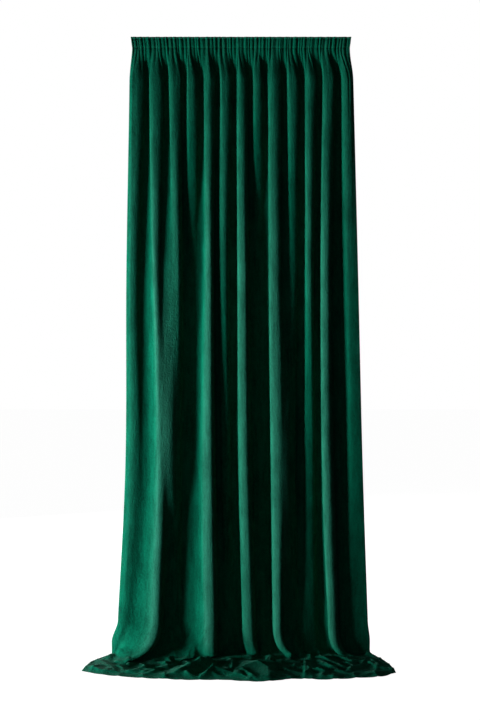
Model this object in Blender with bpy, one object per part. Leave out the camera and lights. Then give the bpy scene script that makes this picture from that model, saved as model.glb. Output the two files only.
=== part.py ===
"""Velvet curtain panel, gathered on a pencil-pleat heading tape, hanging in folds and pooling on the floor.

Units are metres. The origin is the middle of the heading's top edge. +X is to the right seen from the
front, +Y goes to the wall behind and +Z is up, so the room side of the cloth faces -Y. A place on the
cloth is given by its column, counted from the left edge, and by its distance down the cloth.
"""
import math

import bpy
import numpy as np

PANEL_WIDTH = 1.40
DROP = 2.50
CLOTH_THICKNESS = 0.002
MOST_BENT = 2.4

HEADING_HEIGHT = 0.045
HEADING_TOP_WIDTH = 0.891
HEADING_WAIST_WIDTH = 0.879
PLEAT_DEPTH = 0.0077
PLEAT_UNEVENNESS = 0.22
PLEAT_BEAT = 2.4
PLEAT_TAIL_BEAT = 3.7
PLEAT_TAIL_SHORTEST = 0.04
PLEAT_TAIL_LONGEST = 0.13
FOLDS_START = 0.045
FOLDS_FORMED = 0.145

TAPE_THICKNESS = 0.001
TAPE_HEIGHT = 0.040
TAPE_INSET = 0.005
TAPE_SETBACK = 0.0034
TAPE_END_COLUMNS = 1

# Columns of cloth on each side of a fold. They add up to two columns for each of the 71 pleats.
FIRST_RISE_COLUMNS = 4
RISE_COLUMNS = 5
FALL_COLUMNS = 6

# How upright a fold's sides are: 0 is a plain wave, 1 is upright in the middle, more leans over.
NECK_STEEPNESS = 1.6
NECK_WALL = 0.37
FALL_STEEPNESS = 1.0
FALL_WALL = 0.58
FULL_STEEPNESS_LIFT = 0.5
EDGE_CURL = 1.4

# Distances down the cloth at which the folds are set out. At the neck every fold is full.
NECK, UPPER, LOWER, FOOT = 0.174, 0.94, 1.79, 2.355
LEVELS = (NECK, UPPER, LOWER, FOOT)

# One row for each fold, from the left. First the crest's place across the curtain in millimetres at the
# four levels, then its lift below the neck, as a share of the full depth, and below the neck the
# steepness of the side that rises to it and the share of that side at which it is steepest. The dip to
# the right of it has its share of the way to the next crest at the four levels and its lift below the
# neck. Last, in millimetres, how far the crest slumps forward above the floor and sways sideways there,
# how much wider the bend is with which it runs out on the floor, and how far it leans forward to it.
FOLD_COLUMNS = (
    "x_neck", "x_upper", "x_lower", "x_foot",
    "lift_upper", "lift_lower", "lift_foot",
    "steepness", "wall",
    "dip_share_neck", "dip_share_upper", "dip_share_lower", "dip_share_foot",
    "dip_upper", "dip_lower", "dip_foot",
    "slump", "sway", "reach", "lean",
)
FOLDS = (
    (-418, -442, -441, -470, 0.8, 0.74, 0.66, 0.2, 0.5, 0.6, 0.46, 0.52, 0.3, 0.34, 0.58, 0.62, 10, -20, -34, 0),
    (-353, -341, -322, -334, 1.0, 1.0, 1.0, 0.3, 0.67, 0.54, 0.3, 0.45, 0.35, 0.73, 0.91, 0.14, 22, -110, -34, 72),
    (-267, -254, -258, -257, 0.83, 0.63, 0.18, 0.3, 0.65, 0.52, 0.5, 0.45, 0.25, 0.0, 0.12, 0.18, 0, -20, 15, 60),
    (-199, -204, -204, -193, 0.07, 0.12, 0.38, 0.3, 0.5, 0.5, 0.46, 0.12, 0.3, 0.04, 0.1, 0.56, 0, 0, 10, 62),
    (-131, -124, -121, -112, 1.0, 1.0, 1.0, 0.6, 0.44, 0.54, 0.46, 0.46, 0.46, 0.0, 0.0, 0.08, 26, 0, -30, 22),
    (-66, -69, -58, -50, 0.74, 0.32, 0.06, 1.5, 0.44, 0.46, 0.42, 0.34, 0.34, 0.0, 0.04, 0.04, 0, 10, 0, 60),
    (6, 14, 22, 40, 1.0, 0.95, 0.9, 1.7, 0.48, 0.42, 0.52, 0.52, 0.52, 0.0, 0.0, 0.0, 4, 24, -38, 4),
    (70, 68, 86, 98, 0.03, 0.02, 0.0, 0.8, 0.5, 0.38, 0.4, 0.3, 0.28, 0.02, 0.0, 0.0, 0, -20, 10, 75),
    (137, 140, 150, 154, 1.0, 1.0, 1.0, 1.8, 0.42, 0.49, 0.55, 0.6, 0.35, 0.46, 0.89, 0.68, 5, 55, -36, 14),
    (205, 207, 204, 209, 0.52, 0.62, 0.48, 0.4, 0.6, 0.49, 0.5, 0.4, 0.5, 0.0, 0.0, 0.37, 10, 40, -10, 50),
    (278, 279, 283, 270, 0.84, 0.36, 0.3, 1.4, 0.5, 0.45, 0.37, 0.42, 0.66, 0.0, 0.0, -0.1, 4, 20, 0, 66),
    (348, 346, 350, 370, 1.0, 1.0, 1.0, 1.8, 0.5, 0.52, 0.4, 0.45, 0.55, 0.02, 0.26, 0.46, 5, 40, -36, 8),
    (428, 433, 452, 440, 0.74, 0.62, 0.5, 0.3, 0.6, 0.0, 0.0, 0.0, 0.0, 0.0, 0.0, 0.0, 6, 20, -34, 0),
)

# The two side edges: place across the curtain in millimetres and lift, at the four levels, and how far
# the edge bulges outward above the floor.
LEFT_EDGE = {"x": (-450, -462, -468, -497), "lift": (0.34, 0.58, 0.56, 0.50), "bulge": -24}
RIGHT_EDGE = {"x": (453, 472, 493, 513), "lift": (0.74, 0.66, 0.56, 0.44), "bulge": 8}

# The bottom hem on the floor, from the left corner to the right one: place across and place forward.
HEM = (
    (-0.613, -0.194),
    (-0.548, -0.231),
    (-0.430, -0.267),
    (-0.224, -0.301),
    (-0.067, -0.303),
    (0.078, -0.324),
    (0.214, -0.290),
    (0.300, -0.298),
    (0.451, -0.278),
    (0.545, -0.255),
    (0.592, -0.219),
)
FLOOR_BACK = -0.015
FLOOR_FLARE = 0.55
FLARE_HEIGHT = 0.012
DIP_BEND = 0.030
CREST_BEND = 0.058
SIDE_BOW = 0.004
BULGE_FORMED = 0.6
EDGE_NARROWNESS = 8

# Ridges of the cloth bunched up on the floor, in metres: both ends of each, seen from above, with their
# heights above the cloth, and the width of the slope on the left and on the right of the line between them.
RIDGE_COLUMNS = ("x_start", "y_start", "high_start", "x_end", "y_end", "high_end", "left", "right")
RIDGES = (
    (-0.556, -0.100, 0.006, -0.523, -0.140, 0.006, 0.045, 0.025),
    (-0.523, -0.140, 0.006, -0.488, -0.200, 0.006, 0.045, 0.025),
    (-0.493, -0.030, 0.010, -0.450, -0.090, 0.010, 0.014, 0.022),
    (-0.449, -0.100, 0.010, -0.435, -0.160, 0.010, 0.012, 0.014),
    (-0.427, -0.225, 0.008, -0.382, -0.220, 0.008, 0.020, 0.018),
    (-0.370, -0.230, 0.008, -0.337, -0.210, 0.008, 0.022, 0.022),
    (-0.337, -0.210, 0.008, -0.245, -0.150, 0.009, 0.022, 0.022),
    (-0.289, -0.080, 0.008, -0.269, -0.140, 0.008, 0.014, 0.018),
    (-0.267, -0.275, 0.005, -0.232, -0.235, 0.015, 0.060, 0.040),
    (-0.232, -0.235, 0.015, -0.196, -0.195, 0.025, 0.060, 0.040),
    (-0.196, -0.195, 0.025, -0.159, -0.165, 0.035, 0.060, 0.040),
    (-0.159, -0.165, 0.035, -0.128, -0.150, 0.039, 0.060, 0.040),
    (-0.143, -0.275, 0.010, -0.107, -0.225, 0.029, 0.020, 0.030),
    (-0.107, -0.225, 0.029, -0.046, -0.245, 0.010, 0.030, 0.020),
    (0.040, -0.050, 0.012, -0.032, -0.060, 0.012, 0.020, 0.020),
    (-0.032, -0.060, 0.012, -0.035, -0.200, 0.012, 0.010, 0.014),
    (-0.000, -0.200, 0.017, 0.066, -0.160, 0.020, 0.020, 0.100),
    (0.066, -0.160, 0.024, 0.107, -0.215, 0.014, 0.125, 0.018),
    (0.107, -0.215, 0.014, 0.112, -0.295, 0.008, 0.125, 0.018),
    (0.004, -0.225, 0.013, 0.056, -0.310, 0.007, 0.012, 0.050),
    (0.142, -0.100, 0.008, 0.232, -0.110, 0.008, 0.016, 0.014),
    (0.161, -0.190, 0.010, 0.229, -0.150, 0.010, 0.016, 0.020),
    (0.251, -0.110, 0.009, 0.247, -0.200, 0.009, 0.011, 0.040),
    (0.247, -0.200, 0.009, 0.235, -0.300, 0.006, 0.011, 0.040),
    (0.271, -0.215, 0.009, 0.298, -0.215, 0.015, 0.020, 0.016),
    (0.298, -0.215, 0.015, 0.320, -0.230, 0.009, 0.020, 0.016),
    (0.315, -0.050, 0.014, 0.393, -0.180, 0.010, 0.022, 0.018),
    (0.311, -0.100, 0.010, 0.370, -0.220, 0.010, 0.018, 0.018),
    (0.384, -0.040, 0.010, 0.436, -0.110, 0.010, 0.018, 0.018),
    (0.436, -0.110, 0.010, 0.495, -0.080, 0.010, 0.018, 0.018),
    (0.413, -0.215, 0.010, 0.428, -0.180, 0.010, 0.018, 0.016),
    (0.428, -0.180, 0.010, 0.486, -0.150, 0.010, 0.018, 0.016),
    (0.517, -0.090, 0.008, 0.538, -0.170, 0.008, 0.030, 0.040),
)
RIDGE_BLEND = 4.0
RIDGE_FADE = 0.060
RIDGE_SMOOTHINGS = 3
BUNCHED = 0.006
HEM_FLAT = 0.045
HEM_RIDGES = 0.25

HEADING_ROWS = 2
SHOULDER_ROWS = 3
BODY_ROWS = 6
FLOOR_ROWS = 8

VELVET = {"color": (0.006, 0.085, 0.058, 1.0), "roughness": 0.85}
WOVEN_TAPE = {"color": (0.72, 0.71, 0.67, 1.0), "roughness": 0.9}


def smooth(value):
    """Ease from 0 to 1, level at both ends."""
    value = np.clip(value, 0.0, 1.0)
    return value * value * (3.0 - 2.0 * value)


def curve_through(knots, values, at):
    """Values at the given places on a smooth curve through the knots."""
    knots, values = np.asarray(knots, dtype=float), np.asarray(values, dtype=float)
    index = np.clip(np.searchsorted(knots, at, side="right") - 1, 0, len(knots) - 2)
    step = knots[index + 1] - knots[index]
    share = (at - knots[index]) / step
    slopes = np.gradient(values, knots)
    start, end = slopes[index] * step, slopes[index + 1] * step
    rise = values[index + 1] - values[index]
    bend = (3.0 * rise - 2.0 * start - end) * share ** 2 + (start + end - 2.0 * rise) * share ** 3
    return values[index] + start * share + bend


def at_distance(values, distance):
    """Value at a distance down the cloth, from its values at the four levels."""
    return curve_through(LEVELS, values, np.clip(distance, NECK, FOOT))


def fold_knots(distance):
    """Places and lifts of the left edge, each crest and dip in turn, and the right edge."""
    folds = [dict(zip(FOLD_COLUMNS, row)) for row in FOLDS]
    crests = [at_distance([fold[name] for name in FOLD_COLUMNS[:4]], distance) for fold in folds]
    places = [at_distance(LEFT_EDGE["x"], distance)]
    lifts = [at_distance(LEFT_EDGE["lift"], distance)]
    for index, fold in enumerate(folds):
        places.append(crests[index])
        lifts.append(at_distance((1.0, fold["lift_upper"], fold["lift_lower"], fold["lift_foot"]), distance))
        if index + 1 < len(folds):
            shares = [fold["dip_share_" + level] for level in ("neck", "upper", "lower", "foot")]
            share = at_distance(shares, distance)
            places.append(crests[index] + share * (crests[index + 1] - crests[index]))
            lifts.append(at_distance((0.0, fold["dip_upper"], fold["dip_lower"], fold["dip_foot"]), distance))
    places.append(at_distance(RIGHT_EDGE["x"], distance))
    lifts.append(at_distance(RIGHT_EDGE["lift"], distance))
    return np.array(places) / 1000.0, np.array(lifts)


def fold_walls(distance):
    """Steepness of each side of the folds, and the share of its width at which it is steepest."""
    steepness = np.full(2 * len(FOLDS), FALL_STEEPNESS)
    wall = np.full(2 * len(FOLDS), FALL_WALL)
    for index, row in enumerate(FOLDS):
        fold = dict(zip(FOLD_COLUMNS, row))
        steep, place = fold["steepness"], fold["wall"]
        steepness[2 * index] = at_distance((NECK_STEEPNESS, steep, steep, steep), distance)
        wall[2 * index] = at_distance((NECK_WALL, place, place, place), distance)
    return steepness, wall


def column_plan():
    """Side of the fold that each column is on, and its share of the way along it."""
    counts = [FIRST_RISE_COLUMNS]
    for _ in FOLDS[:-1]:
        counts += [FALL_COLUMNS, RISE_COLUMNS]
    counts.append(FALL_COLUMNS)
    side = np.concatenate([np.full(count, index) for index, count in enumerate(counts)] + [[len(counts) - 1]])
    share = np.concatenate([np.arange(count) / count for count in counts] + [[1.0]])
    return side, share


SIDE, SHARE = column_plan()
COLUMNS = len(SIDE) - 1


def run_along(distance):
    """Share of a fold side's width that lies before each column, and how fast it grows at its ends."""
    lifts = fold_knots(distance)[1]
    steepness, wall = fold_walls(distance)
    strength = smooth(np.abs(np.diff(lifts)) / FULL_STEEPNESS_LIFT)
    run = SHARE + (steepness * strength)[SIDE] * np.sin(2.0 * math.pi * SHARE) / (2.0 * math.pi)
    run = run + ((wall - 0.5) * strength)[SIDE] * np.sin(math.pi * SHARE) ** 2
    return run, 1.0 + steepness * strength


def along_folds(knots, places, end_speed):
    """Spread values at the knots over the columns: level at each crest and dip, even where they go on."""
    widths = np.diff(places)
    secants = np.diff(knots) / widths
    before, after = secants[:-1], secants[1:]
    same = before * after > 0.0
    total = np.where(same, before + after, 1.0)
    slopes = np.where(same, 2.0 * before * after / total, 0.0)
    slopes = np.concatenate((EDGE_CURL * secants[:1], slopes, secants[-1:]))
    start = (slopes[:-1] * widths * end_speed)[SIDE]
    end = (slopes[1:] * widths * end_speed)[SIDE]
    rise = np.diff(knots)[SIDE]
    bend = (3.0 * rise - 2.0 * start - end) * SHARE ** 2 + (start + end - 2.0 * rise) * SHARE ** 3
    return knots[SIDE] + start * SHARE + bend


def fold_section(distance):
    """Horizontal section through the folds, with the cloth's full width in it, and its lift."""
    places, lifts = fold_knots(distance)
    run, end_speed = run_along(distance)
    x = places[SIDE] + np.diff(places)[SIDE] * run
    lift = along_folds(lifts, places, end_speed)
    low, high = 0.0, 0.3
    for _ in range(30):
        depth = (low + high) / 2.0
        if np.hypot(np.diff(x), depth * np.diff(lift)).sum() < PANEL_WIDTH:
            low = depth
        else:
            high = depth
    return x, depth * (0.5 - lift), lift


def outward(x, y):
    """Unit normals of a section, to the front."""
    along_x, along_y = np.gradient(x), np.gradient(y)
    length = np.hypot(along_x, along_y)
    return along_y / length, -along_x / length


def hanging_row(distance):
    """Points of one row of the cloth between the top edge and the foot level."""
    column = np.arange(COLUMNS + 1)
    pleat = column / 2.0
    width = np.interp(distance, (0.0, HEADING_HEIGHT), (HEADING_TOP_WIDTH, HEADING_WAIST_WIDTH))
    fold_x, fold_y, _ = fold_section(distance)
    fullness = smooth((distance - FOLDS_START) / (FOLDS_FORMED - FOLDS_START))
    x = (1.0 - fullness) * width * (column / COLUMNS - 0.5) + fullness * fold_x
    y = fullness * fold_y
    spread = 0.5 + 0.5 * np.sin(PLEAT_TAIL_BEAT * pleat)
    tail = PLEAT_TAIL_SHORTEST + (PLEAT_TAIL_LONGEST - PLEAT_TAIL_SHORTEST) * spread
    depth = PLEAT_DEPTH / 2.0 * (1.0 + PLEAT_UNEVENNESS * np.sin(PLEAT_BEAT * pleat))
    depth = depth * (1.0 - smooth((distance - HEADING_HEIGHT) / tail))
    normal_x, normal_y = outward(x, y)
    zigzag = depth * np.cos(math.pi * column)
    return np.column_stack((x + zigzag * normal_x, y + zigzag * normal_y, np.full(COLUMNS + 1, -distance)))


def ridged(x, y, height, hem_y):
    """Height of the cloth's ridges and of its bunching at places that lie on the floor or nearly so."""
    total = np.zeros(len(x))
    for row in RIDGES:
        ridge = dict(zip(RIDGE_COLUMNS, row))
        along_x, along_y = ridge["x_end"] - ridge["x_start"], ridge["y_end"] - ridge["y_start"]
        length = math.hypot(along_x, along_y)
        from_x, from_y = x - ridge["x_start"], y - ridge["y_start"]
        share = np.clip((from_x * along_x + from_y * along_y) / length ** 2, 0.0, 1.0)
        away = np.hypot(from_x - share * along_x, from_y - share * along_y)
        right = (from_x * along_y - from_y * along_x) * (1.0 if along_y > 0.0 else -1.0) > 0.0
        width = np.where(right, ridge["right"], ridge["left"])
        high = ridge["high_start"] + share * (ridge["high_end"] - ridge["high_start"])
        total += (high * smooth(1.0 - away / width)) ** RIDGE_BLEND
    landed = 1.0 - smooth(height / RIDGE_FADE)
    in_hem = smooth((y - hem_y) / HEM_FLAT)
    return landed * (total ** (1.0 / RIDGE_BLEND) * (HEM_RIDGES + (1.0 - HEM_RIDGES) * in_hem) + BUNCHED * in_hem)


def floor_row(share):
    """Points of one row between the foot level and the hem, at a share of the way."""
    foot_x, foot_y, lift = fold_section(FOOT)
    cloth = np.concatenate(([0.0], np.cumsum(np.hypot(np.diff(foot_x), np.diff(foot_y)))))
    across, front = np.array(HEM).T
    hem_x = across[0] + (across[-1] - across[0]) * cloth / cloth[-1]
    hem_y = curve_through(across, front, hem_x)
    foot_places = fold_knots(FOOT)[0]
    end_speed = run_along(FOOT)[1]
    slumps, sways, reaches, leans = np.zeros((4, 2 * len(FOLDS) + 1))
    foot_lifts = fold_knots(FOOT)[1]
    for shifts, column in ((slumps, "slump"), (sways, "sway"), (reaches, "reach"), (leans, "lean")):
        shifts[1::2] = [row[FOLD_COLUMNS.index(column)] / 1000.0 for row in FOLDS]
        shifts[2:-1:2] = (shifts[1:-2:2] + shifts[3::2]) / 2.0
    slumps[2:-1:2] *= foot_lifts[2:-1:2]
    slumps[0], slumps[-1] = slumps[1] * foot_lifts[0], slumps[-2] * foot_lifts[-1]
    reaches[0], reaches[-1] = reaches[1], reaches[-2]
    slump = along_folds(slumps, foot_places, end_speed)
    sway = along_folds(sways, foot_places, end_speed)
    lean = along_folds(leans, foot_places, end_speed)

    fall = DROP - FOOT
    bend = DIP_BEND + (CREST_BEND - DIP_BEND) * lift + along_folds(reaches, foot_places, end_speed)
    upright = fall - bend
    corner = bend * math.pi / 2.0
    level = foot_y - hem_y - bend - lean
    travelled = share * (upright + corner + level)
    angle = np.clip((travelled - upright) / bend, 0.0, math.pi / 2.0)
    height = np.where(travelled < upright, fall - travelled, bend * (1.0 - np.sin(angle)))
    forward = bend * (1.0 - np.cos(angle)) + np.clip(travelled - upright - corner, 0.0, None)
    forward = forward + slump * np.sin(math.pi * height / fall) ** 2 + lean * (1.0 - height / fall) ** 2
    y = foot_y - forward

    way = np.clip((FLOOR_BACK - y) / (FLOOR_BACK - hem_y), 0.0, 1.0)
    landed = 1.0 - smooth(height / FLARE_HEIGHT)
    edge = 2.0 * cloth / cloth[-1] - 1.0
    bow = SIDE_BOW * np.sign(edge) * np.abs(edge) ** EDGE_NARROWNESS * np.sin(math.pi * way)
    swayed = sway * (1.0 - height / fall) ** 3
    bulge = np.where(edge < 0.0, LEFT_EDGE["bulge"], RIGHT_EDGE["bulge"]) / 1000.0
    swayed = swayed + bulge * np.abs(edge) ** EDGE_NARROWNESS * smooth((1.0 - height / fall) / BULGE_FORMED)
    x = foot_x + swayed + landed * ((hem_x - foot_x - swayed) * way ** FLOOR_FLARE + bow)
    z = -DROP + CLOTH_THICKNESS / 2.0 + height * (1.0 - CLOTH_THICKNESS / 2.0 / fall)
    raised = ridged(x, y, height, hem_y)
    for _ in range(RIDGE_SMOOTHINGS):
        raised[1:-1] = (raised[:-2] + 2.0 * raised[1:-1] + raised[2:]) / 4.0
    return np.column_stack((x, y, z + raised))


def cloth_sheet(name, rows, thickness):
    """Grid of cloth laid on the given rows of points, from the top down, and given its thickness."""
    middle = np.array(rows)
    across, down = np.gradient(middle, axis=1), np.gradient(middle, axis=0)
    normal = np.cross(down, across)
    normal /= np.linalg.norm(normal, axis=2, keepdims=True)
    steps = np.linalg.norm(np.diff(middle, axis=1), axis=2)
    bent = (steps[:, 1:] + steps[:, :-1]) / 2.0 / np.linalg.norm(across[:, 1:-1], axis=2)
    offset = np.full(middle.shape[:2], thickness / 2.0)
    offset[:, 1:-1] *= np.minimum(bent, MOST_BENT)
    offset = normal * offset[:, :, None]

    front = np.arange(offset[:, :, 0].size).reshape(offset.shape[:2])
    quads = np.stack((front[:-1, :-1], front[1:, :-1], front[1:, 1:], front[:-1, 1:]), axis=-1).reshape(-1, 4)
    around = np.concatenate((front[0, :-1], front[:-1, -1], front[-1, :0:-1], front[:0:-1, 0]))
    after = np.roll(around, -1)
    rim = np.column_stack((around, after, after + front.size, around + front.size))
    faces = np.concatenate((quads, quads[:, ::-1] + front.size, rim))
    corners = np.concatenate(((middle + offset).reshape(-1, 3), (middle - offset).reshape(-1, 3)))
    mesh = bpy.data.meshes.new(name)
    mesh.from_pydata(corners.tolist(), [], faces.tolist())
    mesh.shade_smooth()
    sheet = bpy.data.objects.new(name, mesh)
    bpy.context.scene.collection.objects.link(sheet)
    return sheet


def curtain_panel():
    """The whole velvet cloth, with its hems."""
    distances = np.concatenate((
        np.linspace(0.0, HEADING_HEIGHT, HEADING_ROWS + 1),
        np.linspace(HEADING_HEIGHT, NECK, SHOULDER_ROWS + 1)[1:],
        np.linspace(NECK, FOOT, BODY_ROWS + 1)[1:],
    ))
    rows = [hanging_row(distance) for distance in distances]
    rows += [floor_row(share) for share in np.linspace(0.0, 1.0, FLOOR_ROWS + 1)[1:]]
    return cloth_sheet("curtain_panel", rows, CLOTH_THICKNESS)


def heading_tape():
    """Tape behind the heading, gathered with the cloth."""
    rows = []
    for distance in (TAPE_INSET, TAPE_INSET + TAPE_HEIGHT / 2.0, TAPE_INSET + TAPE_HEIGHT):
        row = hanging_row(distance)[TAPE_END_COLUMNS:-TAPE_END_COLUMNS]
        rows.append(row + (0.0, TAPE_SETBACK, 0.0))
    return cloth_sheet("heading_tape", rows, TAPE_THICKNESS)


def material(name, look):
    """Principled material with a colour and a roughness."""
    result = bpy.data.materials.new(name)
    result.use_nodes = True
    shader = result.node_tree.nodes["Principled BSDF"]
    shader.inputs["Base Color"].default_value = look["color"]
    shader.inputs["Roughness"].default_value = look["roughness"]
    shader.inputs["Metallic"].default_value = 0.0
    return result


def build():
    for item in list(bpy.data.objects):
        bpy.data.objects.remove(item, do_unlink=True)
    collection = bpy.data.collections.new("velvet_curtain")
    bpy.context.scene.collection.children.link(collection)
    for piece, finish in (
        (curtain_panel(), material("velvet", VELVET)),
        (heading_tape(), material("woven_tape", WOVEN_TAPE)),
    ):
        piece.data.materials.append(finish)
        for home in list(piece.users_collection):
            home.objects.unlink(piece)
        collection.objects.link(piece)


build()
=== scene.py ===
"""Velvet curtain, dressed: folds and pleats, crumpled cloth on the floor, pile, knitted back and tape.

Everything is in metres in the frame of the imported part: the origin is the middle of the heading's top
edge, +X is to the right seen from the room, +Y goes to the wall behind and +Z is up.
"""
import math

import bpy
import numpy as np
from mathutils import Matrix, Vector


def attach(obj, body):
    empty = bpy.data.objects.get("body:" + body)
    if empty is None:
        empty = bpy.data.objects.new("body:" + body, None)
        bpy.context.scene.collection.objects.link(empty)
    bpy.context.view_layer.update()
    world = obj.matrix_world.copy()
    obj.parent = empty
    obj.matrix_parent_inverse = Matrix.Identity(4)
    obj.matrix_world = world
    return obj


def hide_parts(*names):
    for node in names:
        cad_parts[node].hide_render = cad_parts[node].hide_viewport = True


# The flat cloth, its drop to the floor and its thickness. MOST_BENT is the most that the thickness is
# widened at a tight bend.
PANEL_WIDTH = 1.40
DROP = 2.50
CLOTH_THICKNESS = 0.0020
MOST_BENT = 2.4

# The gathered heading. Each pleat has a depth and a tail that runs out below it, both uneven, and a
# fainter ghost of it goes on further. The pleats crowd together here and there, but not at the ends.
HEADING_HEIGHT = 0.045
HEADING_TOP_WIDTH = 0.891
HEADING_WAIST_WIDTH = 0.879
COLUMNS_PER_PLEAT = 4.0
PLEAT_DEPTH = 0.0045
PLEAT_UNEVENNESS = 0.50
PLEAT_CROWDING = 0.30
PLEAT_CROWD_BEATS = (1.9, 0.83)
UNCROWDED_COLUMNS = 8
PLEAT_BEAT = 2.4
PLEAT_TAIL_BEAT = 3.7
PLEAT_TAIL_SHORTEST = 0.05
PLEAT_TAIL_LONGEST = 0.17
PLEAT_GHOST = 0.60
PLEAT_GHOST_LENGTH = 0.34
PLEAT_GHOST_LEAST = 0.4
PLEAT_PINCH = 0.11
PLEAT_SQUARENESS = 0.4
FOLDS_START = 0.045
FOLDS_FORMED = 0.180
TOP_ROLL = 0.0016
TOP_ROLL_DEPTH = 0.006

# The tape behind the heading, the seams, and the thread with the groove that it pulls in the cloth.
TAPE_STITCHES = (0.0072, 0.0434)
TAPE_THICKNESS = 0.001
TAPE_HEIGHT = 0.040
TAPE_INSET = 0.005
TAPE_SETBACK = 0.0034
TAPE_END_COLUMNS = 1
TAPE_ROWS = 10
SIDE_HEM_COLUMN = 3
BOTTOM_HEM_ROWS = 7
STITCH_PITCH = 0.005
STITCH_SHARE = 0.72
STITCH_TAPER = 0.3
STITCH_END = 0.5
THREAD = 0.0006
STITCH_GROOVE = 0.0011
STITCH_GROOVE_WIDTH = 0.0022

# Distances below the top edge at which the heading has a row of points.
HEADING_LEVELS = (
    0.0, 0.0012, 0.0028, 0.0046, 0.0060, 0.0072, 0.0084, 0.0110, 0.0180, 0.0260, 0.0340, 0.0400, 0.0420,
    0.0434, 0.0450,
)

# Columns of points on each side of a fold.
FIRST_RISE_COLUMNS = 8
RISE_COLUMNS = 10
FALL_COLUMNS = 12

# Steepness of the sides of the folds, and the share of a side at which it is steepest, where no table
# gives it. Sides lower than FULL_STEEPNESS_LIFT are less steep. EDGE_CURL curls the left edge. The
# depth of the folds, up to MOST_DEPTH, is searched until a section takes the cloth's full width.
NECK_STEEPNESS = 1.6
NECK_WALL = 0.37
FALL_STEEPNESS = 1.0
NECK_FALL_WALL = 0.74
FALL_WALL = 0.58
FULL_STEEPNESS_LIFT = 0.5
EDGE_CURL = 1.4
MOST_DEPTH = 0.3
DEPTH_HALVINGS = 30

# Levels at which the tables give the folds, as distances down the cloth. The places in those tables
# are in millimetres, PER_METRE of them to a metre.
PER_METRE = 1000.0
NECK, UPPER, LOWER, FOOT = 0.174, 0.94, 1.79, 2.355
LEVELS = (NECK, UPPER, LOWER, FOOT)

# One row for each fold, from the left. First the crest's place across the curtain in millimetres at the
# four levels, then its lift below the neck, as a share of the full depth, and below the neck the
# steepness of the side that rises to it and the share of that side at which it is steepest. The dip to
# the right of it has its share of the way to the next crest at the four levels and its lift below the
# neck. Last, in millimetres, how far the crest slumps forward above the floor and sways sideways there,
# how much wider the bend is with which it runs out on the floor, and how far it leans forward to it.
FOLD_COLUMNS = (
    "x_neck", "x_upper", "x_lower", "x_foot",
    "lift_upper", "lift_lower", "lift_foot",
    "steepness", "wall",
    "dip_share_neck", "dip_share_upper", "dip_share_lower", "dip_share_foot",
    "dip_upper", "dip_lower", "dip_foot",
    "slump", "sway", "reach", "lean",
)
FOLDS = (
    (-418, -442, -441, -470, 0.8, 0.74, 0.66, 0.2, 0.5,
     0.62, 0.46, 0.52, 0.3, 0.34, 0.58, 0.62, 10, -26, -34, 0),
    (-353, -341, -322, -334, 1, 1, 1, 0.3, 0.67,
     0.74, 0.3, 0.45, 0.35, 0.73, 0.91, 0.14, 16, -120, -34, 100),
    (-274, -254, -258, -257, 0.83, 0.63, 0.18, 0.3, 0.65,
     0.72, 0.5, 0.45, 0.25, 0, 0.12, 0.18, 0, -20, 15, 75),
    (-207, -204, -204, -193, 0.07, 0.12, 0.38, 0.3, 0.5,
     0.66, 0.46, 0.12, 0.3, 0.04, 0.1, 0.56, 0, 0, 10, 75),
    (-131, -124, -121, -112, 1, 1, 1, 0.6, 0.44,
     0.62, 0.46, 0.46, 0.46, 0, 0, 0.08, 26, 0, -30, 30),
    (-66, -69, -58, -50, 0.74, 0.32, 0.06, 1.5, 0.44,
     0.61, 0.42, 0.34, 0.34, 0, 0.04, 0.04, 0, 10, 0, 40),
    (0, 14, 22, 40, 1, 0.95, 0.9, 1.7, 0.48,
     0.66, 0.52, 0.52, 0.52, 0, 0, 0, 4, 24, -38, 4),
    (62, 68, 86, 98, 0.03, 0.02, 0, 0.8, 0.5,
     0.6, 0.4, 0.3, 0.28, 0.02, 0, 0, 0, -20, 10, 40),
    (129, 140, 150, 154, 1, 1, 1, 1.8, 0.42,
     0.64, 0.55, 0.6, 0.35, 0.46, 0.89, 0.68, 5, 55, -36, 14),
    (205, 207, 204, 209, 0.52, 0.62, 0.48, 0.4, 0.6,
     0.62, 0.5, 0.4, 0.5, 0, 0, 0.37, 10, 40, -10, 25),
    (278, 279, 283, 270, 0.84, 0.36, 0.3, 1.4, 0.5,
     0.62, 0.37, 0.42, 0.66, 0, 0, -0.1, 4, 20, 0, 10),
    (348, 346, 350, 370, 1, 1, 1, 1.8, 0.5,
     0.6, 0.4, 0.45, 0.55, 0.02, 0.26, 0.46, 5, 40, -36, 8),
    (428, 433, 452, 440, 0.74, 0.62, 0.5, 0.3, 0.6,
     0, 0, 0, 0, 0, 0, 0, 6, 20, -34, 0),
)

# The side edges: their places in millimetres and lifts at the four levels, and how far each bulges out.
LEFT_EDGE = {"x": (-450, -462, -468, -497), "lift": (0.34, 0.58, 0.56, 0.50), "bulge": -24}
RIGHT_EDGE = {"x": (453, 472, 493, 513), "lift": (0.74, 0.66, 0.56, 0.44), "bulge": 8}

# The bottom hem on the floor, from the left corner to the right one: place across and place forward.
HEM = (
    (-0.613, -0.194),
    (-0.548, -0.231),
    (-0.430, -0.267),
    (-0.224, -0.301),
    (-0.067, -0.303),
    (0.078, -0.324),
    (0.214, -0.290),
    (0.300, -0.298),
    (0.451, -0.278),
    (0.545, -0.255),
    (0.592, -0.219),
)

# How the cloth comes to lie on the floor: where it starts, how fast it spreads, the bend at the foot of
# a dip and of a crest, and how the side edges bow and bulge.
FLOOR_BACK = -0.015
FLOOR_FLARE = 0.55
FLARE_HEIGHT = 0.012
DIP_BEND = 0.030
CREST_BEND = 0.058
SIDE_BOW = 0.004
BULGE_FORMED = 0.6
EDGE_NARROWNESS = 8
LEAN_SHAPE = 1.35
SWAY_SHAPE = 3

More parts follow.
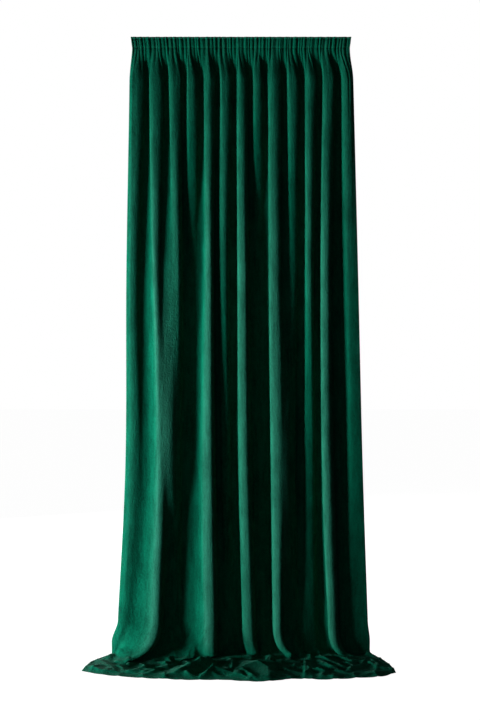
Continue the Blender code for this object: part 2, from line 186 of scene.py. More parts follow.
# Small creases between the ridges: their direction in degrees, the distance between two of them, their
# height, how far and over what length they bend to and fro, and how long each runs. Metres.
CREASE_COLUMNS = ("heading", "spacing", "high", "bend", "bend_length", "run")
CREASES = (
    (18, 0.085, 0.0080, 0.018, 0.23, 0.13),
    (-38, 0.066, 0.0070, 0.014, 0.17, 0.11),
    (71, 0.052, 0.0045, 0.010, 0.19, 0.16),
)

# Ridges of the cloth bunched up on the floor, in metres: both ends of each, seen from above, with their
# heights above the cloth, and the width of the slope on the left and right of the line between them.
RIDGE_COLUMNS = ("x_start", "y_start", "high_start", "x_end", "y_end", "high_end", "left", "right")
RIDGES = (
    (-0.556, -0.100, 0.006, -0.523, -0.140, 0.006, 0.045, 0.025),
    (-0.523, -0.140, 0.006, -0.488, -0.200, 0.006, 0.045, 0.025),
    (-0.493, -0.030, 0.010, -0.450, -0.090, 0.010, 0.014, 0.022),
    (-0.449, -0.100, 0.010, -0.435, -0.160, 0.010, 0.012, 0.014),
    (-0.427, -0.225, 0.008, -0.382, -0.220, 0.008, 0.020, 0.018),
    (-0.370, -0.230, 0.008, -0.337, -0.210, 0.008, 0.022, 0.022),
    (-0.337, -0.210, 0.008, -0.245, -0.150, 0.009, 0.022, 0.022),
    (-0.289, -0.080, 0.008, -0.269, -0.140, 0.008, 0.014, 0.018),
    (-0.267, -0.275, 0.005, -0.232, -0.235, 0.015, 0.060, 0.040),
    (-0.232, -0.235, 0.015, -0.196, -0.195, 0.025, 0.060, 0.040),
    (-0.196, -0.195, 0.025, -0.159, -0.165, 0.035, 0.060, 0.040),
    (-0.159, -0.165, 0.035, -0.128, -0.150, 0.039, 0.060, 0.040),
    (-0.143, -0.275, 0.010, -0.107, -0.225, 0.029, 0.020, 0.030),
    (-0.107, -0.225, 0.029, -0.046, -0.245, 0.010, 0.030, 0.020),
    (0.040, -0.050, 0.012, -0.032, -0.060, 0.012, 0.020, 0.020),
    (-0.032, -0.060, 0.012, -0.035, -0.200, 0.012, 0.010, 0.014),
    (-0.000, -0.200, 0.017, 0.066, -0.160, 0.020, 0.020, 0.100),
    (0.066, -0.160, 0.024, 0.107, -0.215, 0.014, 0.125, 0.018),
    (0.107, -0.215, 0.014, 0.112, -0.295, 0.008, 0.125, 0.018),
    (0.004, -0.225, 0.013, 0.056, -0.310, 0.007, 0.012, 0.050),
    (0.142, -0.100, 0.008, 0.232, -0.110, 0.008, 0.016, 0.014),
    (0.161, -0.190, 0.010, 0.229, -0.150, 0.010, 0.016, 0.020),
    (0.251, -0.110, 0.009, 0.247, -0.200, 0.009, 0.011, 0.040),
    (0.247, -0.200, 0.009, 0.235, -0.300, 0.006, 0.011, 0.040),
    (0.271, -0.215, 0.009, 0.298, -0.215, 0.015, 0.020, 0.016),
    (0.298, -0.215, 0.015, 0.320, -0.230, 0.009, 0.020, 0.016),
    (0.315, -0.050, 0.014, 0.393, -0.180, 0.010, 0.022, 0.018),
    (0.311, -0.100, 0.010, 0.370, -0.220, 0.010, 0.018, 0.018),
    (0.384, -0.040, 0.010, 0.436, -0.110, 0.010, 0.018, 0.018),
    (0.436, -0.110, 0.010, 0.495, -0.080, 0.010, 0.018, 0.018),
    (0.413, -0.215, 0.010, 0.428, -0.180, 0.010, 0.018, 0.016),
    (0.428, -0.180, 0.010, 0.486, -0.150, 0.010, 0.018, 0.016),
    (0.517, -0.090, 0.008, 0.538, -0.170, 0.008, 0.030, 0.040),
)

# How ridges join and fade out upwards, how high one is when creases have ended on it, how much the
# cloth is raised by bunching, and how flat it gets towards the hem.
RIDGE_BLEND = 4.0
RIDGE_SHARPNESS = 1.5
CREASES_END = 0.012
RIDGE_FADE = 0.060
BUNCHED = 0.006
HEM_FLAT = 0.045
HEM_RIDGES = 0.35

# Rows of points below the heading.
SHOULDER_END = 0.25
SHOULDER_ROWS = 26
BODY_ROWS = 26
FLOOR_ROWS = 104

CAMERA_DISTANCE = 4.0
CAMERA_PLACE = -0.004
CAMERA_HEIGHT = -1.3045
CAMERA_LENS = 49.5
SENSOR = 36.0

# Lamps: name, place, the place that each is turned to, size, power in watts and spread in degrees.
LAMPS = (
    ("key", (-3.20, -0.95, -2.30), (0.0, 0.0, -1.10), (1.5, 0.7), 142.0, 100.0),
    ("front", (-0.6, -3.2, -1.2), (0.0, 0.0, -1.25), (6.0, 3.6), 7.5, 180.0),
    ("behind", (-1.6, 3.4, -0.9), (0.0, 0.0, -1.25), (3.0, 2.0), 110.0, 180.0),
    ("right", (4.0, 1.5, -0.9), (0.0, 0.0, -1.25), (2.0, 2.0), 14.0, 180.0),
)
FILL = 0.001
FLOOR_SIZE = 40.0
FLOOR_GAP = 0.0005
FLOOR_TONE = 0.30
FLOOR_GLOW = 0.985

# The pile's darker and paler tones where it lies closed, and the tones of a painted highlight on the
# crests, where the light falls, which partly stands for a crest opening the pile. The highlight is
# painted from the lift CREST_START up, at the neck only a little, and not on the floor.
PILE_DARK = (0.0003, 0.038, 0.021)
PILE_LIGHT = (0.0010, 0.160, 0.090)
HIGHLIGHT_AND_OPENED_DARK = (0.0036, 0.042, 0.026)
HIGHLIGHT_AND_OPENED_LIGHT = (0.0190, 0.172, 0.110)
CREST_START = 0.60
CREST_AT_NECK = 0.25
CREST_GROWN = 1.1
CREST_FLOOR = 0.09

# Noises of the pile: repeats over a metre across, back and down, detail, and share of the nap. First
# streaks where it lies over, then brushed patches and the grain. Those of the woven threads and of the
# sewing thread follow.
PILE_NOISES = (
    ((70.0, 70.0, 9.0), 4.0, 0.42),
    ((16.0, 16.0, 9.0), 3.0, 0.26),
    ((170.0, 170.0, 120.0), 3.0, 0.32),
)
UNEVEN_THREADS = ((60.0, 60.0, 25.0), 3.0, 0.4)
THREAD_TWIST = ((900.0, 900.0, 900.0), 1.0)
NOISE_RANGE = (0.3, 0.7)
RIBS_SHARE = 0.6
CLOSED_ROUGHNESS = 0.90
OPEN_ROUGHNESS = 0.78

# Fine relief of each surface, as its height and its strength.
PILE_RELIEF = (0.0016, 0.8)
RIB_RELIEF = (0.0006, 0.6)
TWIST_RELIEF = (0.0002, 0.5)

# The back and the tape: dark and light tone, distance between two ribs, roughness.
BACK_WEAVE = ((0.003, 0.040, 0.024), (0.007, 0.085, 0.052), 0.0016, 0.85)
TAPE_WEAVE = ((0.52, 0.51, 0.47), (0.80, 0.79, 0.75), 0.0022, 0.9)
THREAD_TONES = ((0.001, 0.030, 0.018), (0.003, 0.060, 0.036))


def smooth(value):
    """Ease from 0 to 1, level at both ends."""
    value = np.clip(value, 0.0, 1.0)
    return value * value * (3.0 - 2.0 * value)


def curve_through(knots, values, at):
    """Values at the given places on a smooth curve through the knots."""
    knots, values = np.asarray(knots, dtype=float), np.asarray(values, dtype=float)
    index = np.clip(np.searchsorted(knots, at, side="right") - 1, 0, len(knots) - 2)
    step = knots[index + 1] - knots[index]
    share = (at - knots[index]) / step
    slopes = np.gradient(values, knots)
    start, end = slopes[index] * step, slopes[index + 1] * step
    rise = values[index + 1] - values[index]
    bend = (3.0 * rise - 2.0 * start - end) * share ** 2 + (start + end - 2.0 * rise) * share ** 3
    return values[index] + start * share + bend


def at_distance(values, distance):
    """Value at a distance down the cloth, from its values at the four levels."""
    return curve_through(LEVELS, values, np.clip(distance, NECK, FOOT))


def fold_knots(distance):
    """Places and lifts of the left edge, each crest and dip in turn, and the right edge."""
    folds = [dict(zip(FOLD_COLUMNS, row)) for row in FOLDS]
    crests = [at_distance([fold[name] for name in FOLD_COLUMNS[:4]], distance) for fold in folds]
    places = [at_distance(LEFT_EDGE["x"], distance)]
    lifts = [at_distance(LEFT_EDGE["lift"], distance)]
    for index, fold in enumerate(folds):
        places.append(crests[index])
        crest_lifts = (1.0, fold["lift_upper"], fold["lift_lower"], fold["lift_foot"])
        lifts.append(at_distance(crest_lifts, distance))
        if index + 1 < len(folds):
            shares = [fold["dip_share_" + level] for level in ("neck", "upper", "lower", "foot")]
            share = at_distance(shares, distance)
            places.append(crests[index] + share * (crests[index + 1] - crests[index]))
            dip_lifts = (0.0, fold["dip_upper"], fold["dip_lower"], fold["dip_foot"])
            lifts.append(at_distance(dip_lifts, distance))
    places.append(at_distance(RIGHT_EDGE["x"], distance))
    lifts.append(at_distance(RIGHT_EDGE["lift"], distance))
    return np.array(places) / PER_METRE, np.array(lifts)


def fold_walls(distance):
    """Steepness of each side of the folds, and the share of its width at which it is steepest."""
    steepness = np.full(2 * len(FOLDS), FALL_STEEPNESS)
    wall = np.full(2 * len(FOLDS), FALL_WALL)
    for index, row in enumerate(FOLDS):
        fold = dict(zip(FOLD_COLUMNS, row))
        steep, place = fold["steepness"], fold["wall"]
        steepness[2 * index] = at_distance((NECK_STEEPNESS, steep, steep, steep), distance)
        wall[2 * index] = at_distance((NECK_WALL, place, place, place), distance)
    wall[1::2] = at_distance((NECK_FALL_WALL, FALL_WALL, FALL_WALL, FALL_WALL), distance)
    return steepness, wall


def column_plan():
    """Side of the fold that each column is on, and its share of the way along it."""
    counts = [FIRST_RISE_COLUMNS]
    for _ in FOLDS[:-1]:
        counts += [FALL_COLUMNS, RISE_COLUMNS]
    counts.append(FALL_COLUMNS)
    side = [np.full(count, index) for index, count in enumerate(counts)] + [[len(counts) - 1]]
    share = [np.arange(count) / count for count in counts] + [[1.0]]
    return np.concatenate(side), np.concatenate(share)


SIDE, SHARE = column_plan()
COLUMNS = len(SIDE) - 1


def run_along(distance):
    """Share of a fold side's width that lies before each column, and how fast it grows at its ends."""
    lifts = fold_knots(distance)[1]
    steepness, wall = fold_walls(distance)
    strength = smooth(np.abs(np.diff(lifts)) / FULL_STEEPNESS_LIFT)
    run = SHARE + (steepness * strength)[SIDE] * np.sin(2.0 * math.pi * SHARE) / (2.0 * math.pi)
    run = run + ((wall - 0.5) * strength)[SIDE] * np.sin(math.pi * SHARE) ** 2
    return run, 1.0 + steepness * strength


def along_folds(knots, places, end_speed):
    """Spread values at the knots over the columns, level at each crest and dip."""
    widths = np.diff(places)
    secants = np.diff(knots) / widths
    before, after = secants[:-1], secants[1:]
    same = before * after > 0.0
    total = np.where(same, before + after, 1.0)
    slopes = np.where(same, 2.0 * before * after / total, 0.0)
    slopes = np.concatenate((EDGE_CURL * secants[:1], slopes, secants[-1:]))
    start = (slopes[:-1] * widths * end_speed)[SIDE]
    end = (slopes[1:] * widths * end_speed)[SIDE]
    rise = np.diff(knots)[SIDE]
    bend = (3.0 * rise - 2.0 * start - end) * SHARE ** 2 + (start + end - 2.0 * rise) * SHARE ** 3
    return knots[SIDE] + start * SHARE + bend


def fold_section(distance):
    """Horizontal section through the folds, with the cloth's full width in it, and its lift."""
    places, lifts = fold_knots(distance)
    run, end_speed = run_along(distance)
    x = places[SIDE] + np.diff(places)[SIDE] * run
    lift = along_folds(lifts, places, end_speed)
    low, high = 0.0, MOST_DEPTH
    for _ in range(DEPTH_HALVINGS):
        depth = (low + high) / 2.0
        if np.hypot(np.diff(x), depth * np.diff(lift)).sum() < PANEL_WIDTH:
            low = depth
        else:
            high = depth
    return x, depth * (0.5 - lift), lift


def outward(x, y):
    """Unit normals of a section, to the front."""
    along_x, along_y = np.gradient(x), np.gradient(y)
    length = np.hypot(along_x, along_y)
    return along_y / length, -along_x / length


def hanging_row(distance):
    """Points of one row of the cloth between the top edge and the foot level."""
    column = np.arange(COLUMNS + 1)
    pleat = column / COLUMNS_PER_PLEAT
    width = np.interp(distance, (0.0, HEADING_HEIGHT), (HEADING_TOP_WIDTH, HEADING_WAIST_WIDTH))
    fold_x, fold_y, _ = fold_section(distance)
    fullness = smooth((distance - FOLDS_START) / (FOLDS_FORMED - FOLDS_START))
    x = (1.0 - fullness) * width * (column / COLUMNS - 0.5) + fullness * fold_x
    y = fullness * fold_y
    spread = 0.5 + 0.5 * np.sin(PLEAT_TAIL_BEAT * pleat)
    tail = PLEAT_TAIL_SHORTEST + (PLEAT_TAIL_LONGEST - PLEAT_TAIL_SHORTEST) * spread
    below = distance - HEADING_HEIGHT
    fade = (1.0 - PLEAT_GHOST) * (1.0 - smooth(below / tail))
    ghost_tail = PLEAT_GHOST_LENGTH * (PLEAT_GHOST_LEAST + spread)
    fade = fade + PLEAT_GHOST * (1.0 - smooth(below / ghost_tail))
    depth = PLEAT_DEPTH / 2.0 * (1.0 + PLEAT_UNEVENNESS * np.sin(PLEAT_BEAT * pleat)) * fade
    normal_x, normal_y = outward(x, y)
    turn = 2.0 * math.pi * pleat
    wave = depth * (np.cos(turn) + PLEAT_SQUARENESS * (1.0 - np.cos(2.0 * turn)) * fade)
    wave = wave + TOP_ROLL * math.sqrt(max(0.0, 1.0 - (2.0 * distance / TOP_ROLL_DEPTH - 1.0) ** 2))
    for stitches in TAPE_STITCHES:
        wave = wave - STITCH_GROOVE * math.exp(-((distance - stitches) / STITCH_GROOVE_WIDTH) ** 2)
    crowding = np.sin(PLEAT_CROWD_BEATS[0] * pleat) + np.sin(PLEAT_CROWD_BEATS[1] * pleat)
    inside = np.minimum(column, COLUMNS - column).clip(0, UNCROWDED_COLUMNS) / UNCROWDED_COLUMNS
    shift = PLEAT_PINCH * np.sin(turn) + PLEAT_CROWDING * crowding * inside
    x = x + shift * fade * width * COLUMNS_PER_PLEAT / COLUMNS
    height = np.full(COLUMNS + 1, -distance)
    return np.column_stack((x + wave * normal_x, y + wave * normal_y, height))


def ridged(x, y, height, hem_y):
    """Height of the cloth's ridges and of its bunching at places that lie on the floor or nearly so."""
    total = np.zeros(len(x))
    for row in RIDGES:
        ridge = dict(zip(RIDGE_COLUMNS, row))
        along_x, along_y = ridge["x_end"] - ridge["x_start"], ridge["y_end"] - ridge["y_start"]
        length = math.hypot(along_x, along_y)
        from_x, from_y = x - ridge["x_start"], y - ridge["y_start"]
        share = np.clip((from_x * along_x + from_y * along_y) / length ** 2, 0.0, 1.0)
        away = np.hypot(from_x - share * along_x, from_y - share * along_y)
        right = (from_x * along_y - from_y * along_x) * (1.0 if along_y > 0.0 else -1.0) > 0.0
        width = np.where(right, ridge["right"], ridge["left"])
        high = ridge["high_start"] + share * (ridge["high_end"] - ridge["high_start"])
        total += (high * np.clip(1.0 - away / width, 0.0, 1.0) ** RIDGE_SHARPNESS) ** RIDGE_BLEND
    landed = 1.0 - smooth(height / RIDGE_FADE)
    in_hem = smooth((y - hem_y) / HEM_FLAT)
    creased = np.zeros(len(x))
    for row in CREASES:
        crease = dict(zip(CREASE_COLUMNS, row))
        heading = math.radians(crease["heading"])
        across = x * math.cos(heading) + y * math.sin(heading)
        along = y * math.cos(heading) - x * math.sin(heading)
        across = across + crease["bend"] * np.sin(2.0 * math.pi * along / crease["bend_length"])
        crest = 1.0 - np.abs(np.sin(math.pi * across / crease["spacing"]))
        patch = 0.5 + 0.5 * np.sin(2.0 * math.pi * (along / crease["run"] + across))
        creased += crease["high"] * crest ** 2 * patch
    ridges = total ** (1.0 / RIDGE_BLEND)
    raised = ridges + creased * (1.0 - smooth(ridges / CREASES_END))
    return landed * (raised * (HEM_RIDGES + (1.0 - HEM_RIDGES) * in_hem) + BUNCHED * in_hem)


def floor_row(share):
    """Points of one row between the foot level and the hem, at a share of the way."""
    foot_x, foot_y, lift = fold_section(FOOT)
    cloth = np.concatenate(([0.0], np.cumsum(np.hypot(np.diff(foot_x), np.diff(foot_y)))))
    across, front = np.array(HEM).T
    hem_x = across[0] + (across[-1] - across[0]) * cloth / cloth[-1]
    hem_y = curve_through(across, front, hem_x)
    foot_places = fold_knots(FOOT)[0]
    end_speed = run_along(FOOT)[1]
    slumps, sways, reaches, leans = np.zeros((4, 2 * len(FOLDS) + 1))
    foot_lifts = fold_knots(FOOT)[1]
    for shifts, column in ((slumps, "slump"), (sways, "sway"), (reaches, "reach"), (leans, "lean")):
        shifts[1::2] = [row[FOLD_COLUMNS.index(column)] / PER_METRE for row in FOLDS]
        shifts[2:-1:2] = (shifts[1:-2:2] + shifts[3::2]) / 2.0
    slumps[2:-1:2] *= foot_lifts[2:-1:2]
    slumps[0], slumps[-1] = slumps[1] * foot_lifts[0], slumps[-2] * foot_lifts[-1]
    reaches[0], reaches[-1] = reaches[1], reaches[-2]
    slump = along_folds(slumps, foot_places, end_speed)
    sway = along_folds(sways, foot_places, end_speed)
    lean = along_folds(leans, foot_places, end_speed)

    fall = DROP - FOOT
    bend = DIP_BEND + (CREST_BEND - DIP_BEND) * lift + along_folds(reaches, foot_places, end_speed)
    upright = fall - bend
    corner = bend * math.pi / 2.0
    level = foot_y - hem_y - bend - lean
    travelled = share * (upright + corner + level)
    angle = np.clip((travelled - upright) / bend, 0.0, math.pi / 2.0)
    height = np.where(travelled < upright, fall - travelled, bend * (1.0 - np.sin(angle)))
    forward = bend * (1.0 - np.cos(angle)) + np.clip(travelled - upright - corner, 0.0, None)
    forward = forward + slump * np.sin(math.pi * height / fall) ** 2
    forward = forward + lean * (1.0 - height / fall) ** LEAN_SHAPE
    y = foot_y - forward

    way = np.clip((FLOOR_BACK - y) / (FLOOR_BACK - hem_y), 0.0, 1.0)
    landed = 1.0 - smooth(height / FLARE_HEIGHT)
    edge = 2.0 * cloth / cloth[-1] - 1.0
    bow = SIDE_BOW * np.sign(edge) * np.abs(edge) ** EDGE_NARROWNESS * np.sin(math.pi * way)
    swayed = sway * (1.0 - height / fall) ** SWAY_SHAPE
    bulge = np.where(edge < 0.0, LEFT_EDGE["bulge"], RIGHT_EDGE["bulge"]) / PER_METRE
    formed = smooth((1.0 - height / fall) / BULGE_FORMED)
    swayed = swayed + bulge * np.abs(edge) ** EDGE_NARROWNESS * formed
    x = foot_x + swayed + landed * ((hem_x - foot_x - swayed) * way ** FLOOR_FLARE + bow)
    z = -DROP + CLOTH_THICKNESS / 2.0 + height * (1.0 - CLOTH_THICKNESS / 2.0 / fall)
    return np.column_stack((x, y, z + ridged(x, y, height, hem_y)))


def surface_normals(points):
    """Steps across a grid of points, and its unit normals."""
    across, down = np.gradient(points, axis=1), np.gradient(points, axis=0)
    normal = np.cross(down, across)
    return across, normal / np.linalg.norm(normal, axis=2, keepdims=True)


def smooth_mesh(name, corners, faces):
    """Smoothly shaded mesh from its corners and its faces of four corners."""
    mesh = bpy.data.meshes.new(name)
    mesh.from_pydata(corners.reshape(-1, 3).tolist(), [], faces.reshape(-1, 4).tolist())
    mesh.shade_smooth()
    return mesh


def placed(name, data):
    """Object with the given data, put into the scene."""
    result = bpy.data.objects.new(name, data)
    bpy.context.scene.collection.objects.link(result)
    return result


def cloth_sheet(name, rows, thickness):
    """Grid of cloth laid on the given rows of points, from the top down, and given its thickness."""
    middle = np.array(rows)
    across, normal = surface_normals(middle)
    steps = np.linalg.norm(np.diff(middle, axis=1), axis=2)
    bent = (steps[:, 1:] + steps[:, :-1]) / 2.0 / np.linalg.norm(across[:, 1:-1], axis=2)
    offset = np.full(middle.shape[:2], thickness / 2.0)
    offset[:, 1:-1] *= np.minimum(bent, MOST_BENT)
    offset = normal * offset[:, :, None]

    front = np.arange(offset[:, :, 0].size).reshape(offset.shape[:2])
    quads = np.stack((front[:-1, :-1], front[1:, :-1], front[1:, 1:], front[:-1, 1:]), axis=-1)
    quads = quads.reshape(-1, 4)
    around = np.concatenate((front[0, :-1], front[:-1, -1], front[-1, :0:-1], front[:0:-1, 0]))
    after = np.roll(around, -1)
    rim = np.column_stack((around, after, after + front.size, around + front.size))
    faces = np.concatenate((quads, quads[:, ::-1] + front.size, rim))
    corners = np.concatenate(((middle + offset).reshape(-1, 3), (middle - offset).reshape(-1, 3)))
    mesh = smooth_mesh(name, corners, faces)
    back_side = np.arange(len(faces)) >= len(quads)
    mesh.polygons.foreach_set("material_index", back_side.astype(np.int32))
    return placed(name, mesh)


def cloth_rows():
    """Points of the cloth's middle surface, row by row from the top."""
    distances = np.concatenate((
        HEADING_LEVELS,
        np.linspace(HEADING_HEIGHT, SHOULDER_END, SHOULDER_ROWS + 1)[1:],
        np.linspace(SHOULDER_END, FOOT, BODY_ROWS + 1)[1:],
    ))
    rows = [hanging_row(distance) for distance in distances]
    rows += [floor_row(share) for share in np.linspace(0.0, 1.0, FLOOR_ROWS + 1)[1:]]
    return np.array(rows), distances


def highlight_and_opened_pile(rows, distances):
    """Share of the painted crest highlight at each point, from 0 to 1; it partly stands for the pile
    opening.
    """
    highlighted = np.zeros(rows.shape[:2])
    for index, row in enumerate(rows):
        distance = distances[min(index, len(distances) - 1)]
        crest = smooth((fold_section(distance)[2] - CREST_START) / (1.0 - CREST_START))
        below = smooth((distance - FOLDS_START) / CREST_GROWN)
        grown = CREST_AT_NECK + (1.0 - CREST_AT_NECK) * below
        highlighted[index] = crest * grown * smooth((row[:, 2] + DROP) / CREST_FLOOR)
    return highlighted


def heading_tape():
    """Tape behind the heading, gathered with the cloth."""
    rows = []
    for distance in np.linspace(TAPE_INSET, TAPE_INSET + TAPE_HEIGHT, TAPE_ROWS + 1):
        row = hanging_row(distance)[TAPE_END_COLUMNS:-TAPE_END_COLUMNS]
        rows.append(row + (0.0, TAPE_SETBACK, 0.0))
    return cloth_sheet("gathered_tape", rows, TAPE_THICKNESS)


def stitch_line(points, normals, pitch):
    """Ends and normals of the stitches on a line over the cloth, at a pitch or one for each step."""
    if pitch:
        lengths = np.linalg.norm(np.diff(points, axis=0), axis=1)
        places = np.concatenate(([0.0], np.cumsum(lengths)))
        spots = np.arange(0.0, places[-1], pitch)
        points = np.column_stack([np.interp(spots, places, points[:, axis]) for axis in range(3)])
        normals = np.column_stack([np.interp(spots, places, normals[:, axis]) for axis in range(3)])
    steps = np.diff(points, axis=0)
    margin = (1.0 - STITCH_SHARE) / 2.0
    return points[:-1] + margin * steps, points[1:] - margin * steps, normals[:-1]


def stitches(rows):
    """Threads of the seams: both rows through the tape, the side hems and the bottom hem."""
    normal = surface_normals(rows)[1]
    surface = rows + normal * (CLOTH_THICKNESS / 2.0 + THREAD / 3.0)
    seam_rows = [HEADING_LEVELS.index(place) for place in TAPE_STITCHES] + [-BOTTOM_HEM_ROWS]
    lines = [stitch_line(surface[row], normal[row], 0.0) for row in seam_rows]
    for column in (SIDE_HEM_COLUMN, -1 - SIDE_HEM_COLUMN):
        hem = (slice(None, -BOTTOM_HEM_ROWS), column)
        lines.append(stitch_line(surface[hem], normal[hem], STITCH_PITCH))
    start, end, out = [np.concatenate(parts) for parts in zip(*lines)]
    along = end - start
    length = np.linalg.norm(along, axis=1, keepdims=True)
    along /= np.maximum(length, 1e-6)
    side = np.cross(along, out)
    taper = along * length * STITCH_TAPER
    sections = ((start, STITCH_END), (start + taper, 1.0), (end - taper, 1.0), (end, STITCH_END))
    corners = []
    for spot, share in sections:
        lifted = spot + out * THREAD * (share - STITCH_END)
        for turn in range(4):
            angle = math.pi / 2.0 * turn
            corners.append(lifted + THREAD / 2.0 * (side * math.cos(angle) + out * math.sin(angle)))
    corners = np.stack(corners, axis=1)
    walls = []
    for low in (0, 4, 8):
        for turn in range(4):
            after = (turn + 1) % 4
            walls.append((low + turn, low + after, low + 4 + after, low + 4 + turn))
    one_stitch = np.array(walls + [(3, 2, 1, 0), (12, 13, 14, 15)])
    faces = one_stitch[None] + 4 * len(sections) * np.arange(len(start))[:, None, None]
    return placed("seam_stitches", smooth_mesh("seam_stitches", corners, faces))


def new_material(name):
    """Material with its node tree's nodes, links and shader."""
    result = bpy.data.materials.new(name)
    result.use_nodes = True
    nodes, links = result.node_tree.nodes, result.node_tree.links
    return result, nodes, links, nodes["Principled BSDF"]


def noise(nodes, links, places, stretch, detail):
    """Noise over the object's own coordinates, stretched along each axis."""
    mapping = nodes.new("ShaderNodeMapping")
    mapping.inputs["Scale"].default_value = stretch
    links.new(places, mapping.inputs["Vector"])
    result = nodes.new("ShaderNodeTexNoise")
    result.inputs["Scale"].default_value = 1.0
    result.inputs["Detail"].default_value = detail
    result.inputs["Roughness"].default_value = 0.6
    links.new(mapping.outputs["Vector"], result.inputs["Vector"])
    return result.outputs["Fac"]


def to_range(nodes, links, value, low, high, start, end):
    """Value carried from one range to another."""
    result = nodes.new("ShaderNodeMapRange")
    links.new(value, result.inputs["Value"])
    result.inputs["From Min"].default_value = low
    result.inputs["From Max"].default_value = high
    result.inputs["To Min"].default_value = start
    result.inputs["To Max"].default_value = end
    return result.outputs["Result"]


def combine(nodes, links, kind, first, second):
    """Two values added or multiplied."""
    result = nodes.new("ShaderNodeMath")
    result.operation = kind
    links.new(first, result.inputs[0])
    if isinstance(second, float):
        result.inputs[1].default_value = second
    else:
        links.new(second, result.inputs[1])
    return result.outputs["Value"]


def two_tones(nodes, links, share, dark, light):
    """Colour between two tones."""
    result = nodes.new("ShaderNodeMix")
    result.data_type = "RGBA"
    links.new(share, result.inputs["Factor"])
    for socket, tone in ((result.inputs["A"], dark), (result.inputs["B"], light)):
        if isinstance(tone, tuple):
            socket.default_value = tone + (1.0,)
        else:
            links.new(tone, socket)
    return result.outputs["Result"]


def bumped(nodes, links, height, relief, shader):
    """Fine relief of the surface."""
    result = nodes.new("ShaderNodeBump")
    result.inputs["Distance"].default_value, result.inputs["Strength"].default_value = relief
    links.new(height, result.inputs["Height"])
    links.new(result.outputs["Normal"], shader.inputs["Normal"])


def velvet_pile():
    """Deep emerald pile with its nap, and a painted highlight on the crests that partly stands for the
    pile opening there.
    """
    result, nodes, links, shader = new_material("velvet_pile")
    places = nodes.new("ShaderNodeTexCoord").outputs["Object"]
    parts = []
    for stretch, detail, share in PILE_NOISES:
        grain = noise(nodes, links, places, stretch, detail)
        parts.append(to_range(nodes, links, grain, *NOISE_RANGE, 0.0, share))
    nap = combine(nodes, links, "ADD", parts[0], parts[1])
    nap = combine(nodes, links, "ADD", nap, parts[2])
    # Painted highlight: the crests get paler, whiter tones for the light falling on them, partly
    # standing for the pile opening there.
    highlighted = nodes.new("ShaderNodeAttribute")
    highlighted.attribute_name = "highlight_and_opened_pile"
    tone = two_tones(nodes, links, nap, PILE_DARK, PILE_LIGHT)
    paler = two_tones(nodes, links, nap, HIGHLIGHT_AND_OPENED_DARK, HIGHLIGHT_AND_OPENED_LIGHT)
    tone = two_tones(nodes, links, highlighted.outputs["Fac"], tone, paler)
    links.new(tone, shader.inputs["Base Color"])
    roughness = to_range(nodes, links, nap, 0.0, 1.0, CLOSED_ROUGHNESS, OPEN_ROUGHNESS)
    links.new(roughness, shader.inputs["Roughness"])
    bumped(nodes, links, combine(nodes, links, "ADD", nap, grain), PILE_RELIEF, shader)
    shader.inputs["Specular IOR Level"].default_value = 0.02
    shader.inputs["Sheen Weight"].default_value = 0.07
    shader.inputs["Sheen Roughness"].default_value = 0.34
    shader.inputs["Sheen Tint"].default_value = (0.40, 1.0, 0.80, 1.0)
    return result


def woven(name, dark, light, pitch, roughness):
    """Plain woven or knitted cloth: two crossing rows of ribs at a pitch, with uneven threads."""
    result, nodes, links, shader = new_material(name)
    places = nodes.new("ShaderNodeTexCoord").outputs["Object"]
    ribs = []
    for direction in ("X", "Z"):
        wave = nodes.new("ShaderNodeTexWave")
        wave.bands_direction = direction
        wave.inputs["Scale"].default_value = math.pi / (10.0 * pitch)
        wave.inputs["Distortion"].default_value = 1.2
        wave.inputs["Detail"].default_value = 2.0
        wave.inputs["Detail Scale"].default_value = 4.0
        links.new(places, wave.inputs["Vector"])
        ribs.append(wave.outputs["Fac"])
    threads = combine(nodes, links, "MULTIPLY", ribs[0], ribs[1])
    stretch, detail, share = UNEVEN_THREADS
    uneven = noise(nodes, links, places, stretch, detail)
    tone = combine(nodes, links, "ADD", to_range(nodes, links, threads, 0.0, 1.0, 0.0, RIBS_SHARE),
                   to_range(nodes, links, uneven, *NOISE_RANGE, 0.0, share))
    links.new(two_tones(nodes, links, tone, dark, light), shader.inputs["Base Color"])
    bumped(nodes, links, threads, RIB_RELIEF, shader)
    shader.inputs["Roughness"].default_value = roughness
    shader.inputs["Specular IOR Level"].default_value = 0.2
    return result


def sewing_thread():
    """Twisted thread, a little darker than the pile."""
    result, nodes, links, shader = new_material("sewing_thread")
    places = nodes.new("ShaderNodeTexCoord").outputs["Object"]
    twist = noise(nodes, links, places, *THREAD_TWIST)
    links.new(two_tones(nodes, links, twist, *THREAD_TONES), shader.inputs["Base Color"])
    bumped(nodes, links, twist, TWIST_RELIEF, shader)
    shader.inputs["Roughness"].default_value = 0.55
    return result


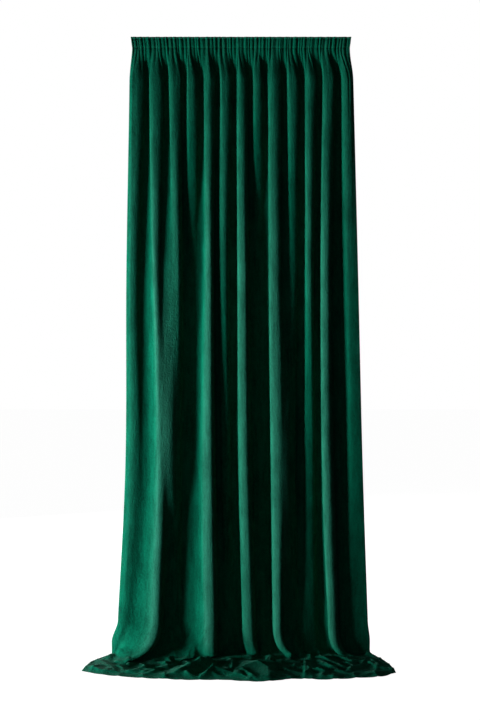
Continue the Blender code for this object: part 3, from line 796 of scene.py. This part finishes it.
def studio():
    """Pale floor, white surroundings for the camera, and the lamps."""
    bpy.ops.mesh.primitive_plane_add(size=FLOOR_SIZE, location=(0.0, 0.0, -DROP - FLOOR_GAP))
    floor = bpy.context.object
    floor.name = "studio_floor"
    pale = bpy.data.materials.new("pale_floor")
    pale.use_nodes = True
    shader = pale.node_tree.nodes["Principled BSDF"]
    shader.inputs["Base Color"].default_value = (FLOOR_TONE, FLOOR_TONE, FLOOR_TONE, 1.0)
    shader.inputs["Roughness"].default_value = 1.0
    shader.inputs["Emission Color"].default_value = (1.0, 1.0, 1.0, 1.0)
    shader.inputs["Emission Strength"].default_value = FLOOR_GLOW
    floor.data.materials.append(pale)
    floor.visible_diffuse = False
    floor.visible_glossy = False

    world = bpy.data.worlds.new("surroundings")
    bpy.context.scene.world = world
    world.use_nodes = True
    nodes, links = world.node_tree.nodes, world.node_tree.links
    nodes.clear()
    output = nodes.new("ShaderNodeOutputWorld")
    seen = nodes.new("ShaderNodeBackground")
    seen.inputs["Color"].default_value = (1.0, 1.0, 1.0, 1.0)
    fill = nodes.new("ShaderNodeBackground")
    fill.inputs["Color"].default_value = (FILL, FILL, FILL, 1.0)
    path = nodes.new("ShaderNodeLightPath")
    choose = nodes.new("ShaderNodeMixShader")
    links.new(path.outputs["Is Camera Ray"], choose.inputs[0])
    links.new(fill.outputs[0], choose.inputs[1])
    links.new(seen.outputs[0], choose.inputs[2])
    links.new(choose.outputs[0], output.inputs[0])

    for values in LAMPS:
        lamp(*values)


def lamp(name, place, aim, size, power, spread):
    """Rectangular lamp at a place, turned to the place that it lights."""
    light = bpy.data.lights.new(name, "AREA")
    light.shape = "RECTANGLE"
    light.size, light.size_y = size
    light.energy = power
    light.spread = math.radians(spread)
    holder = placed(name, light)
    holder.location = place
    holder.rotation_euler = (Vector(aim) - Vector(place)).to_track_quat("-Z", "Y").to_euler()


def camera():
    """Level camera straight in front of the curtain."""
    data = bpy.data.cameras.new("camera")
    data.lens = CAMERA_LENS
    data.sensor_width = SENSOR
    data.sensor_fit = "VERTICAL"
    data.sensor_height = SENSOR
    view = placed("camera", data)
    view.location = (CAMERA_PLACE, -CAMERA_DISTANCE, CAMERA_HEIGHT)
    view.rotation_euler = (math.radians(90.0), 0.0, 0.0)
    bpy.context.scene.camera = view


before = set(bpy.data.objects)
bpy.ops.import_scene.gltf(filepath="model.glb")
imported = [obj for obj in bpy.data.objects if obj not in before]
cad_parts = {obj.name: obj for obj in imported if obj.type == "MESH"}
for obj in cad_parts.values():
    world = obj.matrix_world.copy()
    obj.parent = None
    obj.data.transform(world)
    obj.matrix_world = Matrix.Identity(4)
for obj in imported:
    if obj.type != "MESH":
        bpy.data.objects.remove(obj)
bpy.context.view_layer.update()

camera()
studio()
bpy.context.scene.view_settings.view_transform = "Standard"

rows, distances = cloth_rows()
cloth = cloth_sheet("curtain_cloth", rows, CLOTH_THICKNESS)
# Painted crest highlight, partly for the opening pile, stored at each point on both sides of the cloth.
both_sides = np.tile(highlight_and_opened_pile(rows, distances).ravel(), 2).astype(np.float32)
cloth.data.attributes.new("highlight_and_opened_pile", "FLOAT", "POINT").data.foreach_set("value", both_sides)
cloth.data.materials.append(velvet_pile())
cloth.data.materials.append(woven("velvet_back", *BACK_WEAVE))
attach(cloth, "root")
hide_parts("curtain_panel")

thread = stitches(rows)
thread.data.materials.append(sewing_thread())
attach(thread, "root")

tape = heading_tape()
tape.data.materials.append(woven("woven_tape", *TAPE_WEAVE))
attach(tape, "root")
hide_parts("heading_tape")
